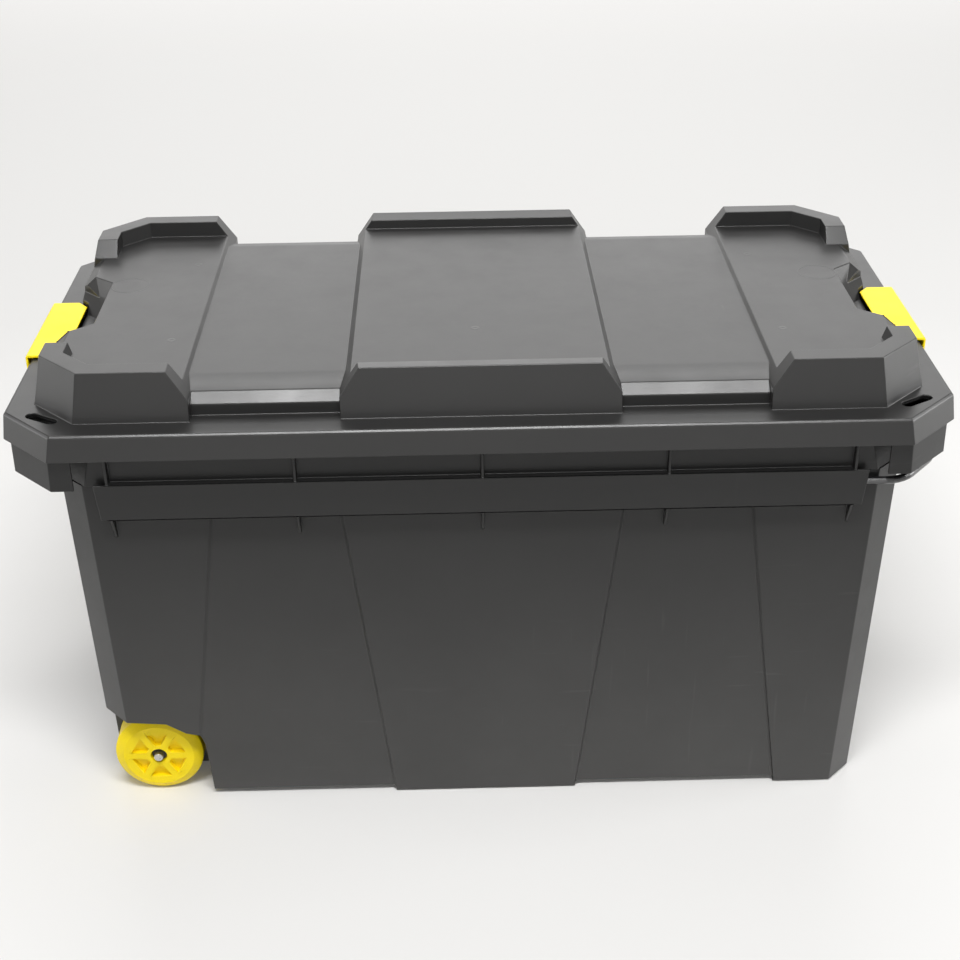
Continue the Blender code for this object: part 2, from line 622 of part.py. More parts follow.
def channel(name, skin):
    """The two lower, crowned panels between the blocks, or with skin the hollow under them."""
    y = CHANNEL_Y - skin
    start = -LID_WALL - BITE if skin else -BITE
    step = CHANNEL_STEP - skin * (math.sqrt(2.0) - 1.0)
    edge = CHANNEL_RISE - skin
    crown_y = CHANNEL_Y - (CHANNEL_RISE - CHANNEL_STEP) - CHANNEL_SLOPE
    half = [(y, start), (y, step), (y - (edge - step), edge), (crown_y, CHANNEL_CROWN - skin)]
    outline = half + [(-u, v) for u, v in half[::-1]]
    reach = BLOCK_INNER_X + CHANNEL_TUCK
    return prism(name, [(u, LID_TOP + v) for u, v in outline], 'X', -reach, reach)


def latch_seat(name, side, skin):
    """The shallow seat under a latch, and the room for it beside the block."""
    tip, front = LID_X - LATCH_REACH, LID_X + SKIRT_FLARE
    half = [(tip, LATCH_HALF - LATCH_CORNER_Y), (tip + LATCH_CORNER_X, LATCH_HALF), (front, LATCH_HALF)]
    outline = grown(half + [(x, -y) for x, y in half[::-1]], SEAT_ROOM + skin)
    return prism(name, [(side * x, y) for x, y in outline], 'Z', LID_TOP - SEAT_SINK - skin,
                 LID_TOP + RIDGE_RISE + OVER)


def notch(name, side, skin):
    """The finger notch behind a latch, with splayed and leaning side walls."""
    back, front = NOTCH_X - skin, BLOCK_X + OVER
    start = -LID_WALL - OVER if skin else 0.0
    sections = []
    for rise, (inset, run, spread, spread_at_foot) in (
            (start, NOTCH_FOOT), (NOTCH_STEP_RISE, NOTCH_SHELF), (END_TOP_RISE, NOTCH_MOUTH),
            (RIDGE_RISE + OVER, NOTCH_MOUTH)):
        wide = LATCH_HALF - inset + math.sqrt(2.0) * skin
        half = [(back, wide), (back + run, wide + spread), (front, wide + spread_at_foot)]
        outline = half + [(x, -y) for x, y in half[::-1]]
        sections.append((LID_TOP + rise, [(side * x, y) for x, y in outline]))
    return loft(name, sections)


def end_sinks(side, skin):
    """What is taken from an end block: its sunken top, the gap between the arms, the lips and the notch."""
    tag = "%d_%d" % (side, bool(skin))
    x, y, c = RIDGE_INNER_X + skin, RIDGE_INNER_Y + skin, RIDGE_CORNER
    start = BLOCK_INNER_X - OVER
    outline = [(start, -y), (x - c, -y), (x, -y + c), (x, y - c), (x - c, y), (start, y)]
    low, high = LID_TOP + END_TOP_RISE - skin, LID_TOP + RIDGE_RISE + OVER
    sink = prism("sink_" + tag, [(side * u, v) for u, v in outline], 'Z', low, high)

    wide = ARM_END_Y + skin
    slope = ARM_SLOPE / (RIDGE_RISE - END_TOP_RISE)
    arms = prism("arms_" + tag, [(-wide, low), (wide, low), (wide + slope * (high - low), high),
                                 (-wide - slope * (high - low), high)],
                 'X', side * (RIDGE_INNER_X - BITE), side * (BLOCK_X + OVER))

    edge, end = BLOCK_X - LIP_WIDTH, BLOCK_X + OVER
    thick = skin * math.hypot(1.0, LIP_LEAN)
    inner = edge - (thick - skin) / LIP_LEAN
    foot = LID_TOP + END_TOP_RISE - LIP_LEAN * (end - edge) - thick
    lip = prism("lip_" + tag, [(side * inner, low), (side * end, foot), (side * end, high),
                               (side * inner, high)], 'Y', -wide, wide)
    return [sink, arms, lip, notch("notch_" + tag, side, skin), latch_seat("latch_seat_" + tag, side, skin)]


def middle_sink(skin):
    """The sunken top of the middle block, between ridges whose tops dip inwards."""
    y, far = MIDDLE_RIDGE_Y + skin, BLOCK_Y
    flat = BLOCK_Y - BLOCK_DRAFT_Y * RIDGE_RISE - MIDDLE_RIDGE_FLAT
    lean = MIDDLE_RIDGE_DIP / (flat - MIDDLE_RIDGE_Y)
    top = LID_TOP + RIDGE_RISE - skin * math.hypot(1.0, lean)
    half = [(y, LID_TOP + MIDDLE_TOP_RISE - skin), (y, top - lean * (flat - y)),
            (far, top + lean * (far - flat)), (far, LID_TOP + RIDGE_RISE + OVER)]
    reach = MIDDLE_BLOCK_HALF + OVER
    return prism("middle_sink_%d" % bool(skin), half + [(-u, v) for u, v in half[::-1]], 'X', -reach, reach)


def lid():
    body = loft("lid_body", [
        (SKIRT_BOTTOM, octagon(LID_X + SKIRT_FLARE, LID_Y + SKIRT_FLARE, SKIRT_CORNER)),
        (LID_TOP - EDGE_ROUND, octagon(LID_X, LID_Y, LID_CORNER)),
        (LID_TOP, octagon(LID_X, LID_Y, LID_CORNER, -EDGE_ROUND)),
    ])
    combine(body, 'UNION', [end_block("end_block_-1", -1, 0.0), end_block("end_block_1", 1, 0.0),
                            middle_block("middle_block", 0.0), channel("channel", 0.0)])
    cuts = end_sinks(-1, 0.0) + end_sinks(1, 0.0) + [middle_sink(0.0)]

    hollow_top = LID_TOP - LID_WALL
    cuts.append(loft("skirt_hollow", [
        (SKIRT_BOTTOM - OVER, octagon(LID_X + SKIRT_FLARE, LID_Y + SKIRT_FLARE, SKIRT_CORNER, -LID_WALL)),
        (hollow_top, octagon(LID_X, LID_Y, LID_CORNER, -LID_WALL)),
    ]))
    for side in (-1, 1):
        hollow = end_block("end_hollow_%d" % side, side, LID_WALL)
        cuts.append(combine(hollow, 'DIFFERENCE', end_sinks(side, LID_WALL)))
        for side_y in (-1, 1):
            cuts.append(prism("slot_%d_%d" % (side, side_y), tie_down_slot(side, side_y, 0.0), 'Z',
                              hollow_top - OVER, LID_TOP + OVER))
    hollow = middle_block("middle_hollow", LID_WALL)
    cuts.append(combine(hollow, 'DIFFERENCE', [middle_sink(LID_WALL)]))
    cuts.append(channel("channel_hollow", LID_WALL))
    combine(body, 'DIFFERENCE', cuts)
    return part(body, "lid", LID_PLASTIC)


# Latches

def latch(side, name):
    """A latch: barrel round its pin, plate outside the skirt, hook over the flange."""
    inner, outer = LATCH_INSIDE, LATCH_INSIDE + LATCH_PLATE
    low = LID_TOP + LATCH_LIFT - PIVOT_Z
    high = low + LATCH_HOOK_THICK
    tip = LID_X - LATCH_REACH - PIVOT_X
    start = math.acos(outer / BARREL_RADIUS)
    sweep = math.acos(inner / BARREL_RADIUS) - 2 * math.pi - start
    turns = [start + sweep * i / BARREL_STEPS for i in range(BARREL_STEPS + 1)]
    outline = [(BARREL_RADIUS * math.cos(t), BARREL_RADIUS * math.sin(t)) for t in turns]
    outline += [(inner, low), (tip, low), (tip, high)]
    for i in range(BEND_STEPS + 1):
        turn = math.pi / 2 * (1 - i / BEND_STEPS)
        outline.append((outer - LATCH_ROUND * (1 - math.cos(turn)),
                        high - LATCH_ROUND * (1 - math.sin(turn))))
    bore = PIN_RADIUS + GAP
    turns = [2 * math.pi * i / PIN_STEPS for i in range(PIN_STEPS)]
    hole = [(bore * math.cos(t), bore * math.sin(t)) for t in turns]
    outline = [(side * (PIVOT_X + x), PIVOT_Z + z) for x, z in outline]
    hole = [(side * (PIVOT_X + x), PIVOT_Z + z) for x, z in hole]
    body = prism(name + "_body", outline, 'Y', -LATCH_HALF, LATCH_HALF, [hole])
    tip, low, high = PIVOT_X + tip, PIVOT_Z + low, PIVOT_Z + high
    lean = OVER * LATCH_CORNER_Y / LATCH_CORNER_X
    cuts = []
    for side_y in (-1, 1):
        corner = [(tip - OVER, LATCH_HALF - LATCH_CORNER_Y - lean),
                  (tip + LATCH_CORNER_X + OVER, LATCH_HALF + lean), (tip - OVER, LATCH_HALF + lean)]
        cuts.append(prism("%s_corner_%d" % (name, side_y), [(side * x, side_y * y) for x, y in corner],
                          'Z', low - OVER, high + OVER))
    combine(body, 'DIFFERENCE', cuts)
    return part(body, name, YELLOW_PLASTIC, (side * PIVOT_X, 0, PIVOT_Z))


def latch_pin(side, name):
    reach = LATCH_HALF + EAR_SIDE_GAP + EAR_THICK
    pin = cylinder(name, PIN_RADIUS, 'Y', (side * PIVOT_X, PIVOT_Z), -reach, reach, PIN_STEPS)
    return part(pin, name, BRIGHT_STEEL, (side * PIVOT_X, 0, PIVOT_Z))


# Wheels and axle

def turned(name, profile, segments):
    """A profile of (radius, height) points turned about Z, from the top down its outer side."""
    mesh = bpy.data.meshes.new(name)
    edges = [(i, (i + 1) % len(profile)) for i in range(len(profile))]
    mesh.from_pydata([(r, 0.0, h) for r, h in profile], edges, [])
    made = add(name, mesh)
    screw = made.modifiers.new("turn", 'SCREW')
    screw.axis = 'Z'
    screw.steps = segments
    screw.render_steps = segments
    screw.use_merge_vertices = True
    screw.merge_threshold = 0.00001
    return made


def wheel_pockets(name, top):
    """Wedge pockets between the spokes, sunk from the wheel's outer face."""
    step = math.pi / POCKET_COUNT
    pockets = bmesh.new()
    for n in range(POCKET_COUNT):
        angle = math.pi / 2 + 2 * step * n
        corners = []
        for radius, sign in ((HUB_RADIUS, -1), (POCKET_OUTER, -1), (POCKET_OUTER, 1), (HUB_RADIUS, 1)):
            across = sign * (radius * math.tan(step) - SPOKE_WIDTH / 2 / math.cos(step))
            corners.append((radius * math.cos(angle) - across * math.sin(angle),
                            radius * math.sin(angle) + across * math.cos(angle)))
        face = pockets.faces.new([pockets.verts.new((x, y, top - POCKET_DEPTH)) for x, y in corners])
        lifted = bmesh.ops.extrude_face_region(pockets, geom=[face])
        verts = [v for v in lifted["geom"] if isinstance(v, bmesh.types.BMVert)]
        bmesh.ops.translate(pockets, verts=verts, vec=(0, 0, POCKET_DEPTH + OVER))
    return finish_mesh(name, pockets)


def wheel(side_y, name):
    half = WHEEL_WIDTH / 2
    bore = AXLE_RADIUS + GAP
    sink, sink_radius = half - HUB_SINK, CAP_RADIUS + CAP_SIDE_GAP
    web = half - POCKET_DEPTH - WHEEL_WEB
    boss = half + WELL_DEPTH_GAP - GAP
    inner_rim = WHEEL_RADIUS - WHEEL_RIM
    shoulder = half - WHEEL_SHOULDER
    profile = [(bore, sink), (sink_radius, sink), (sink_radius, half), (WHEEL_FACE_RADIUS, half),
               (WHEEL_RADIUS - WHEEL_EDGE, shoulder), (WHEEL_RADIUS, shoulder - WHEEL_EDGE),
               (WHEEL_RADIUS, WHEEL_EDGE - half), (WHEEL_RADIUS - WHEEL_EDGE, -half), (inner_rim, -half),
               (inner_rim, web), (HUB_RADIUS, web), (HUB_RADIUS, -boss), (bore, -boss)]
    body = turned(name + "_body", profile, WHEEL_STEPS)
    cutter = wheel_pockets(name + "_pockets", half)
    combine(body, 'DIFFERENCE', [cutter])
    made = part(body, name, YELLOW_PLASTIC)
    turn = Matrix.Rotation(math.radians(-90 * side_y), 4, 'X')
    made.matrix_world = Matrix.Translation((AXLE_X, side_y * (WHEEL_FACE_Y - half), WHEEL_RADIUS)) @ turn
    cutter.matrix_world = made.matrix_world
    return made


def axle():
    half = WHEEL_FACE_Y + AXLE_PROUD
    rod = cylinder("axle", AXLE_RADIUS, 'Y', (AXLE_X, WHEEL_RADIUS), -half, half, ROUND_STEPS)
    return part(rod, "axle", BRIGHT_STEEL, (AXLE_X, 0, WHEEL_RADIUS))


def axle_cap(side_y, name):
    """The push-on cap that holds a wheel, in the hub's counterbore."""
    start = WHEEL_FACE_Y - HUB_SINK + GAP
    bore = AXLE_RADIUS + GAP
    profile = [(bore, CAP_THICK), (CAP_RADIUS - CAP_EDGE, CAP_THICK), (CAP_RADIUS, CAP_THICK - CAP_EDGE),
               (CAP_RADIUS, 0.0), (bore, 0.0)]
    made = part(turned(name + "_body", profile, ROUND_STEPS), name, BLACK_PLASTIC)
    turn = Matrix.Rotation(math.radians(-90 * side_y), 4, 'X')
    made.matrix_world = Matrix.Translation((AXLE_X, side_y * start, WHEEL_RADIUS)) @ turn
    return made


# Pull handle

def bent_path(points, radius, steps):
    """Points joined by straight runs, with an arc of the given radius at each bend."""
    path = [Vector(points[0])]
    for before, corner, after in zip(points, points[1:], points[2:]):
        corner = Vector(corner)
        back = (Vector(before) - corner).normalized()
        ahead = (Vector(after) - corner).normalized()
        half = back.angle(ahead) / 2
        reach = radius / math.tan(half)
        centre = corner + (back + ahead).normalized() * (radius / math.sin(half))
        start, end = corner + back * reach, corner + ahead * reach
        sweep = math.pi - 2 * half
        for i in range(steps + 1):
            share = i / steps
            from_start = (start - centre) * math.sin((1 - share) * sweep)
            from_end = (end - centre) * math.sin(share * sweep)
            path.append(centre + (from_start + from_end) / math.sin(sweep))
    path.append(Vector(points[-1]))
    return path


def pull_handle():
    half = [(STOP_X - BITE, -ROD_Y, ROD_Z), (ROD_END_X - ROD_CORNER_X, -ROD_Y, ROD_Z),
            (ROD_END_X, -ROD_Y + ROD_CORNER_Y, ROD_Z)]
    route = half + [(x, -y, z) for x, y, z in half[::-1]]
    curve = bpy.data.curves.new("pull_handle", 'CURVE')
    curve.dimensions = '3D'
    curve.bevel_depth = ROD_RADIUS
    curve.bevel_resolution = ROD_SIDES // 2 - 2
    curve.use_fill_caps = True
    points = bent_path(route, ROD_BEND, ROD_BEND_STEPS)
    spline = curve.splines.new('POLY')
    spline.points.add(len(points) - 1)
    for point, place in zip(spline.points, points):
        point.co = (*place, 1.0)
    rod = from_curve("pull_handle", curve, Matrix.Identity(4))
    stops = []
    for side in (-1, 1):
        stops.append(box("stop_%d" % side,
                         (STOP_X - STOP_LENGTH, side * ROD_Y - STOP_HALF_Y, ROD_Z - STOP_HALF_Z),
                         (STOP_X, side * ROD_Y + STOP_HALF_Y, ROD_Z + STOP_HALF_Z)))
    combine(rod, 'UNION', stops)
    return part(rod, "pull_handle", BLACK_STEEL, (ROD_END_X, 0, ROD_Z))


tub()
lid()
for end, side_name in ((-1, "left"), (1, "right")):
    latch(end, "latch_" + side_name)
    latch_pin(end, "latch_pin_" + side_name)
axle()
for end, side_name in ((-1, "front"), (1, "rear")):
    wheel(end, "wheel_" + side_name)
    axle_cap(end, "axle_cap_" + side_name)
pull_handle()
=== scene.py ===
"""Looks of the wheeled storage box: finishes, softened edges, floor, light and camera."""

import math

import bpy
from mathutils import Matrix, Vector

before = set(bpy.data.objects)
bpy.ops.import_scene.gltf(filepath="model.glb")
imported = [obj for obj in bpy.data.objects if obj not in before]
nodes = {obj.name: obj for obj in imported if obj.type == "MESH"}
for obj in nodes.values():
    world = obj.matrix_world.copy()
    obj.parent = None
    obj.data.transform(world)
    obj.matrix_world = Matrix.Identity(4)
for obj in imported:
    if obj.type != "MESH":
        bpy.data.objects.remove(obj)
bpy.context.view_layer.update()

# Camera: its place in metres and its axes, and the sensor's width and the lens in millimetres

CAMERA_PLACE = (-0.0291, -1.6482, 1.1878)
CAMERA_RIGHT = (0.9996, -0.0249, -0.0108)
CAMERA_UP = (0.0215, 0.4856, 0.8739)
CAMERA_FORWARD = (0.0166, 0.8738, -0.4859)
SENSOR = 36.0
LENS = 60.0

# Colours, as linear red, green and blue

TUB_GREY = (0.009, 0.009, 0.0089)
TUB_DUST_AND_PAINTED_LIGHT = (0.070, 0.069, 0.0675)      # dust, and painted light from the floor, paler towards the floor; the top stays dark as painted shade under the lid
LID_GREY = (0.017, 0.0168, 0.0166)
PALE_WEAR = (0.17, 0.168, 0.163)       # scuffs on the grey plastic
YELLOW = (0.95, 0.73, 0.004)
YELLOW_WEAR = (0.80, 0.66, 0.10)
BLACK = (0.010, 0.010, 0.011)
BLACK_WEAR = (0.05, 0.05, 0.05)
STEEL = (0.62, 0.61, 0.59)
FLOOR = (0.70, 0.695, 0.685)
FLOOR_GLOW = (1.0, 0.99, 0.975)
SURROUNDINGS = (1.0, 0.985, 0.965)

# Surfaces. A NOISE is (scale, detail, roughness), a BUMP is (strength, distance in metres), a RANGE
# is (from low, from high, to low, to high), and SHADES are stops of (value, factor on the colour).

CLOUD_NOISE = (7.0, 5.0, 0.6)          # slow changes of shade
CLOUD_SHADES = ((0.3, 0.95), (0.7, 1.06))
SPECK_NOISE = (950.0, 1.0, 0.5)        # fine paler grains
SPECK_RANGE = (0.35, 0.65, 0.0, 0.10)
SPECK_FACTOR = 1.6
# Dust, and painted light from the floor: the tub is painted paler towards the floor, and darker higher up
# as painted shade under the lid
DUST_AND_PAINTED_LIGHT_NOISE = (5.0, 5.0, 0.65)
DUST_AND_PAINTED_LIGHT_RANGE = (0.2, 0.7, 0.7, 1.0)
DUST_AND_PAINTED_LIGHT_TOP = 0.40                        # height at which the dust and the painted floor light end
SCUFF_DETAIL = (2.0, 0.6)              # detail and roughness of the streaks
PATCH_DETAIL = (2.0, 0.5)              # the same of the patches that break them up
PATCH_SPREAD = 5                       # how many times coarser the patches are
PATCH_RANGE = (0.48, 0.62)
LEVEL_SCUFFS = (9.0, (1.0, 1.0, 12.0), 0.66, 0.80)      # scale, stretch, low and high
UPRIGHT_SCUFFS = (7.0, (14.0, 3.0, 1.0), 0.68, 0.82)
SCUFF_ROUGH = 0.12                     # how much rougher a level scuff is
ROUGH_NOISE = (18.0, 5.0, 0.7)
ROUGH_LESS, ROUGH_MORE = 0.035, 0.045
GRAIN_NOISE = (1100.0, 2.0, 0.5)
GRAIN_BUMP = (0.10, 0.0003)
MARK_BUMP = (0.5, 0.0004)
MARK_PALE = 0.12
PLASTIC_IOR = 1.5
STEEL_NOISE = (60.0, 4.0, 0.6)
STEEL_SHADES = ((0.3, 0.8), (0.7, 1.0))
DRAWN_NOISE = (200.0, 3.0, 0.6)        # fine lines along the rods
DRAWN_STRETCH = (1.0, 0.1, 1.0)
DRAWN_LESS, DRAWN_MORE = 0.05, 0.1
DRAWN_BUMP = (0.1, 0.0002)
MIDDLE_VALUES = (0.3, 0.7)             # the part of a noise's values that sets the roughness

# Marks of the mould on the lid's top: x, y, radius and width of the line

LID_MARKS = (
    (-0.389, 0.048, 0.021, 0.0009),
    (0.389, 0.048, 0.021, 0.0009),
    (-0.003, -0.100, 0.003, 0.0022),
    (0.321, -0.106, 0.003, 0.0022),
    (0.320, 0.109, 0.003, 0.0022),
    (-0.321, -0.106, 0.003, 0.0022),
    (-0.320, 0.109, 0.003, 0.0022),
)

# Softened edges: each piece's width in metres. Pieces that aren't named keep their edges.

EDGE = {
    "tub": 0.0010,
    "lid": 0.0009,
    "latch_left": 0.0009,
    "latch_right": 0.0009,
    "wheel_front": 0.0004,
    "wheel_rear": 0.0004,
    "axle": 0.0006,
    "axle_cap_front": 0.0003,
    "axle_cap_rear": 0.0003,
}
EDGE_SEGMENTS = 3
EDGE_ANGLE = math.radians(24)          # edges that turn less than this stay as they are
KEPT_TRIANGLES = ("wheel_front", "wheel_rear")          # their faces go round pockets
FLAT_ANGLE = math.radians(0.6)         # faces that turn less than this are joined
WELD_DISTANCE = 0.00001
NORMAL_WEIGHT = 100                    # the large faces set the shading at an edge

# Floor and surroundings

FLOOR_HALF = 30.0
FLOOR_Z = -0.0002                      # just below what stands on it
FLOOR_ROUGH = 0.9
FLOOR_GLOSS = 0.1
FLOOR_LIFT = (0.06, 0.55)              # how much paler the floor looks than its colour, near and far
FLOOR_NEAR, FLOOR_FAR = 1.4, 5.5       # distances from the middle at which these hold
WORLD_LIGHT = 0.18
WORLD_SEEN = 0.62                      # how pale the surroundings look

# Lamps: name, place, target, width and height, and power in watts

LAMPS = (
    ("low_back_light", (0.3, 4.9, 1.9), (0.0, 0.0, 0.5), (6.0, 2.6), 60.0),
    ("high_back_light", (0.0, 2.2, 3.0), (0.0, 0.0, 0.5), (3.0, 1.4), 50.0),
    ("front_light", (0.0, -1.33, 2.8), (0.0, -0.2, 0.49), (1.8, 0.5), 80.0),
    ("low_front_light", (0.0, -3.6, 0.9), (0.0, 0.0, 0.35), (3.0, 1.0), 15.0),
    ("right_light", (2.7, 0.0, 0.9), (0.4, 0.0, 0.35), (1.0, 1.6), 30.0),
    ("left_light", (-2.7, 0.0, 0.9), (-0.4, 0.0, 0.35), (1.0, 1.6), 16.0),
)

# Sockets of a Mix node that is set to colours

MIX_FACTOR, MIX_FIRST, MIX_SECOND, MIX_RESULT = 0, 6, 7, 2


def new_material(name):
    material = bpy.data.materials.new(name)
    material.use_nodes = True
    tree = material.node_tree
    return material, tree, tree.nodes["Principled BSDF"]


def opaque(colour):
    return (*colour, 1.0)


def plug(tree, socket, value):
    """Link a value that comes from a node, or set a plain one."""
    if hasattr(value, "links"):
        tree.links.new(value, socket)
    elif isinstance(value, tuple):
        socket.default_value = opaque(value)
    else:
        socket.default_value = value


def object_place(tree):
    return tree.nodes.new("ShaderNodeTexCoord").outputs["Object"]


def tint(colour, factor):
    return tuple(factor * value for value in colour)


def shades(tree, source, colour, stops):
    """A colour that gets darker or paler with a value, between two stops of (value, factor)."""
    made = tree.nodes.new("ShaderNodeValToRGB")
    for element, (place, factor) in zip(made.color_ramp.elements, stops):
        element.position = place
        element.color = opaque(tint(colour, factor))
    tree.links.new(source, made.inputs["Fac"])
    return made.outputs["Color"]


def noise(tree, scale, detail, roughness, stretch=(1.0, 1.0, 1.0)):
    mapping = tree.nodes.new("ShaderNodeMapping")
    mapping.inputs["Scale"].default_value = stretch
    made = tree.nodes.new("ShaderNodeTexNoise")
    made.inputs["Scale"].default_value = scale
    made.inputs["Detail"].default_value = detail
    made.inputs["Roughness"].default_value = roughness
    tree.links.new(object_place(tree), mapping.inputs["Vector"])
    tree.links.new(mapping.outputs["Vector"], made.inputs["Vector"])
    return made.outputs["Fac"]


def mix(tree, factor, first, second):
    made = tree.nodes.new("ShaderNodeMix")
    made.data_type = "RGBA"
    plug(tree, made.inputs[MIX_FACTOR], factor)
    plug(tree, made.inputs[MIX_FIRST], first)
    plug(tree, made.inputs[MIX_SECOND], second)
    return made.outputs[MIX_RESULT]


def calculate(tree, operation, first, second=0.0):
    made = tree.nodes.new("ShaderNodeMath")
    made.operation = operation
    plug(tree, made.inputs[0], first)
    plug(tree, made.inputs[1], second)
    return made.outputs[0]


def span(tree, value, low, high, to_low=0.0, to_high=1.0):
    """A value carried from one range to another, and kept inside it."""
    made = tree.nodes.new("ShaderNodeMapRange")
    plug(tree, made.inputs["Value"], value)
    for key, number in (("From Min", low), ("From Max", high), ("To Min", to_low), ("To Max", to_high)):
        made.inputs[key].default_value = number
    return made.outputs["Result"]


def height(tree):
    split = tree.nodes.new("ShaderNodeSeparateXYZ")
    tree.links.new(object_place(tree), split.inputs["Vector"])
    return split.outputs["Z"]


def line_distance(tree, x, y):
    """Distance from the upright line through a point."""
    flat = tree.nodes.new("ShaderNodeMapping")
    flat.inputs["Location"].default_value = (-x, -y, 0.0)
    flat.inputs["Scale"].default_value = (1.0, 1.0, 0.0)
    length = tree.nodes.new("ShaderNodeVectorMath")
    length.operation = "LENGTH"
    tree.links.new(object_place(tree), flat.inputs["Vector"])
    tree.links.new(flat.outputs["Vector"], length.inputs[0])
    return length.outputs["Value"]


def ring(tree, x, y, radius, width):
    """A round mark seen from above: 1 on its line and 0 away from it."""
    away = calculate(tree, "ABSOLUTE", calculate(tree, "SUBTRACT", line_distance(tree, x, y), radius))
    return span(tree, away, 0.0, width, 1.0, 0.0)


def seen_directly(tree):
    """1 where the camera sees a surface itself, or in a reflection or through glass."""
    path = tree.nodes.new("ShaderNodeLightPath")
    seen = calculate(tree, "MAXIMUM", path.outputs["Is Camera Ray"], path.outputs["Is Glossy Ray"])
    return calculate(tree, "MAXIMUM", seen, path.outputs["Is Transmission Ray"])


def bump(tree, relief, strength, distance, below=None):
    made = tree.nodes.new("ShaderNodeBump")
    made.inputs["Strength"].default_value = strength
    made.inputs["Distance"].default_value = distance
    tree.links.new(relief, made.inputs["Height"])
    if below:
        tree.links.new(below, made.inputs["Normal"])
    return made.outputs["Normal"]


def scuffs(tree, wear, scale, stretch, low, high):
    """Thin rubbed streaks, broken up by a coarser noise."""
    streaks = span(tree, noise(tree, scale, *SCUFF_DETAIL, stretch), low, high)
    patches = span(tree, noise(tree, scale / PATCH_SPREAD, *PATCH_DETAIL), *PATCH_RANGE)
    return calculate(tree, "MULTIPLY", calculate(tree, "MULTIPLY", streaks, patches), wear)


def plastic(name, colour, rough, pale=PALE_WEAR, wear=0.2, dust_and_painted_light=None, marks=(), gloss=0.5):
    """Moulded plastic: cloudy shades, grains, scuffs in a pale colour, and a fine grain in relief."""
    material, tree, shader = new_material(name)
    base = shades(tree, noise(tree, *CLOUD_NOISE), colour, CLOUD_SHADES)
    base = mix(tree, span(tree, noise(tree, *SPECK_NOISE), *SPECK_RANGE), base, tint(colour, SPECK_FACTOR))
    # Paler towards the floor: dust, and painted light from the floor, with painted shade higher up under
    # the lid
    if dust_and_painted_light:
        patches = span(tree, noise(tree, *DUST_AND_PAINTED_LIGHT_NOISE), *DUST_AND_PAINTED_LIGHT_RANGE)
        low_part = calculate(tree, "MULTIPLY", span(tree, height(tree), DUST_AND_PAINTED_LIGHT_TOP, 0.0), patches)
        base = mix(tree, low_part, base, dust_and_painted_light)
    rubbed = scuffs(tree, wear, *LEVEL_SCUFFS)
    base = mix(tree, rubbed, base, pale)
    base = mix(tree, scuffs(tree, wear, *UPRIGHT_SCUFFS), base, pale)

    uneven = span(tree, noise(tree, *ROUGH_NOISE), *MIDDLE_VALUES, rough - ROUGH_LESS, rough + ROUGH_MORE)
    rougher = calculate(tree, "MULTIPLY", rubbed, SCUFF_ROUGH)
    normal = bump(tree, noise(tree, *GRAIN_NOISE), *GRAIN_BUMP)
    for mark in marks:
        line = ring(tree, *mark)
        normal = bump(tree, line, *MARK_BUMP, normal)
        base = mix(tree, calculate(tree, "MULTIPLY", line, MARK_PALE), base, pale)

    shader.inputs["IOR"].default_value = PLASTIC_IOR
    shader.inputs["Specular IOR Level"].default_value = gloss
    tree.links.new(calculate(tree, "ADD", uneven, rougher), shader.inputs["Roughness"])
    tree.links.new(base, shader.inputs["Base Color"])
    tree.links.new(normal, shader.inputs["Normal"])
    return material


def metal(name, colour, rough):
    """Drawn rod: cloudy shades, and fine lines in its roughness and relief."""
    material, tree, shader = new_material(name)
    base = shades(tree, noise(tree, *STEEL_NOISE), colour, STEEL_SHADES)
    drawn = noise(tree, *DRAWN_NOISE, DRAWN_STRETCH)
    uneven = span(tree, drawn, *MIDDLE_VALUES, rough - DRAWN_LESS, rough + DRAWN_MORE)
    shader.inputs["Metallic"].default_value = 1.0
    tree.links.new(base, shader.inputs["Base Color"])
    tree.links.new(uneven, shader.inputs["Roughness"])
    tree.links.new(bump(tree, drawn, *DRAWN_BUMP), shader.inputs["Normal"])
    return material


def smooth_faces():
    """A node group that shades all faces smoothly."""
    group = bpy.data.node_groups.new("smooth_faces", "GeometryNodeTree")
    for way in ("INPUT", "OUTPUT"):
        group.interface.new_socket("Geometry", in_out=way, socket_type="NodeSocketGeometry")
    entry = group.nodes.new("NodeGroupInput")
    smooth = group.nodes.new("GeometryNodeSetShadeSmooth")
    leave = group.nodes.new("NodeGroupOutput")
    group.links.new(entry.outputs[0], smooth.inputs["Geometry"])
    group.links.new(smooth.outputs["Geometry"], leave.inputs[0])
    return group


def soften(name, width, smoother):
    """Round a node's edges, with modifiers alone: its mesh stays as the frame has it."""
    piece = nodes[name]
    piece.modifiers.new("smooth", "NODES").node_group = smoother
    piece.modifiers.new("weld", "WELD").merge_threshold = WELD_DISTANCE
    if name not in KEPT_TRIANGLES:
        flat = piece.modifiers.new("flat", "DECIMATE")
        flat.decimate_type = "DISSOLVE"
        flat.angle_limit = FLAT_ANGLE
    round_off = piece.modifiers.new("round", "BEVEL")
    round_off.width = width
    round_off.segments = EDGE_SEGMENTS
    round_off.limit_method = "ANGLE"
    round_off.angle_limit = EDGE_ANGLE
    round_off.use_clamp_overlap = False
    round_off.miter_outer = "MITER_ARC"
    even = piece.modifiers.new("even", "WEIGHTED_NORMAL")
    even.mode = "FACE_AREA"
    even.weight = NORMAL_WEIGHT
    even.keep_sharp = False


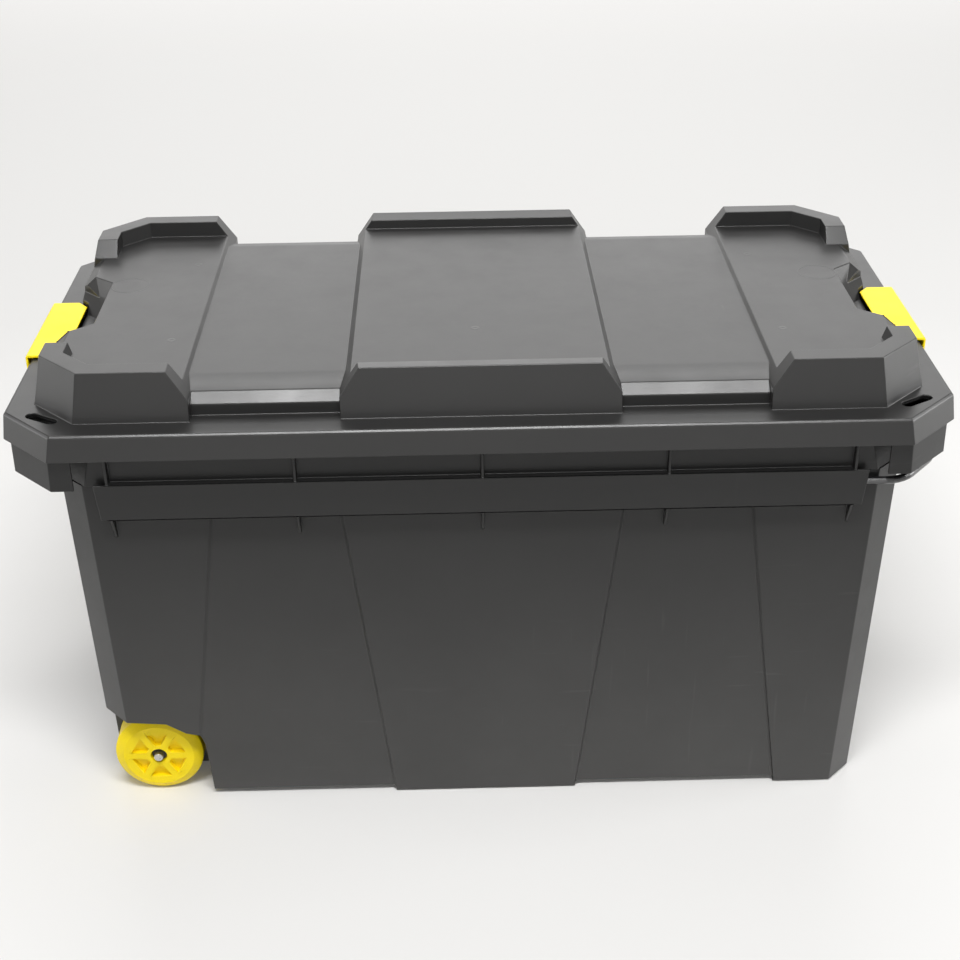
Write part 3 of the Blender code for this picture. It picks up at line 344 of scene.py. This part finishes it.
def add_floor():
    corners = [(x * FLOOR_HALF, y * FLOOR_HALF, FLOOR_Z) for x, y in ((-1, -1), (1, -1), (1, 1), (-1, 1))]
    mesh = bpy.data.meshes.new("floor")
    mesh.from_pydata(corners, [], [(0, 1, 2, 3)])
    floor = bpy.data.objects.new("floor", mesh)
    bpy.context.collection.objects.link(floor)
    finish, tree, shader = new_material("floor_finish")
    shader.inputs["Base Color"].default_value = opaque(FLOOR)
    shader.inputs["Roughness"].default_value = FLOOR_ROUGH
    shader.inputs["Specular IOR Level"].default_value = FLOOR_GLOSS
    shader.inputs["Emission Color"].default_value = opaque(FLOOR_GLOW)
    lift = span(tree, line_distance(tree, 0.0, 0.0), FLOOR_NEAR, FLOOR_FAR, *FLOOR_LIFT)
    lift = calculate(tree, "MULTIPLY", seen_directly(tree), lift)
    tree.links.new(lift, shader.inputs["Emission Strength"])
    mesh.materials.append(finish)
    return floor


def add_world():
    world = bpy.data.worlds.new("surroundings")
    bpy.context.scene.world = world
    world.use_nodes = True
    tree = world.node_tree
    background = tree.nodes["Background"]
    background.inputs["Color"].default_value = opaque(SURROUNDINGS)
    strength = span(tree, seen_directly(tree), 0.0, 1.0, WORLD_LIGHT, WORLD_SEEN)
    tree.links.new(strength, background.inputs["Strength"])


def add_lamp(name, place, target, size, power):
    data = bpy.data.lights.new(name, "AREA")
    data.shape = "RECTANGLE"
    data.size, data.size_y = size
    data.energy = power
    lamp = bpy.data.objects.new(name, data)
    bpy.context.collection.objects.link(lamp)
    lamp.location = place
    lamp.rotation_mode = "QUATERNION"
    lamp.rotation_quaternion = (Vector(target) - Vector(place)).to_track_quat("-Z", "Y")


def add_camera():
    data = bpy.data.cameras.new("camera")
    data.sensor_width = SENSOR
    data.lens = LENS
    camera = bpy.data.objects.new("camera", data)
    bpy.context.collection.objects.link(camera)
    backward = tuple(-value for value in CAMERA_FORWARD)
    turn = Matrix((CAMERA_RIGHT, CAMERA_UP, backward)).transposed()
    camera.matrix_world = Matrix.Translation(CAMERA_PLACE) @ turn.to_4x4()
    return camera


# The tub is paler towards the floor: dust, and painted light from the floor
tub_finish = plastic("tub_finish", TUB_GREY, rough=0.40, dust_and_painted_light=TUB_DUST_AND_PAINTED_LIGHT, gloss=0.38)
lid_finish = plastic("lid_finish", LID_GREY, rough=0.33, wear=0.12, marks=LID_MARKS)
yellow_finish = plastic("yellow_finish", YELLOW, rough=0.40, pale=YELLOW_WEAR, wear=0.15, gloss=0.3)
black_finish = plastic("black_finish", BLACK, rough=0.16, pale=BLACK_WEAR, gloss=1.0)
cap_finish = plastic("cap_finish", BLACK, rough=0.4, pale=BLACK_WEAR)
steel_finish = metal("steel_finish", STEEL, rough=0.3)

FINISHES = {
    "tub": tub_finish,
    "lid": lid_finish,
    "latch_left": yellow_finish,
    "latch_right": yellow_finish,
    "latch_pin_left": steel_finish,
    "latch_pin_right": steel_finish,
    "wheel_front": yellow_finish,
    "wheel_rear": yellow_finish,
    "axle": steel_finish,
    "axle_cap_front": cap_finish,
    "axle_cap_rear": cap_finish,
    "pull_handle": black_finish,
}
for name, finish in FINISHES.items():
    for slot in nodes[name].material_slots:
        slot.material = finish

smoother = smooth_faces()
for name, width in EDGE.items():
    soften(name, width, smoother)

add_floor()
add_world()
for lamp in LAMPS:
    add_lamp(*lamp)
bpy.context.scene.camera = add_camera()
bpy.context.scene.view_settings.view_transform = "Standard"
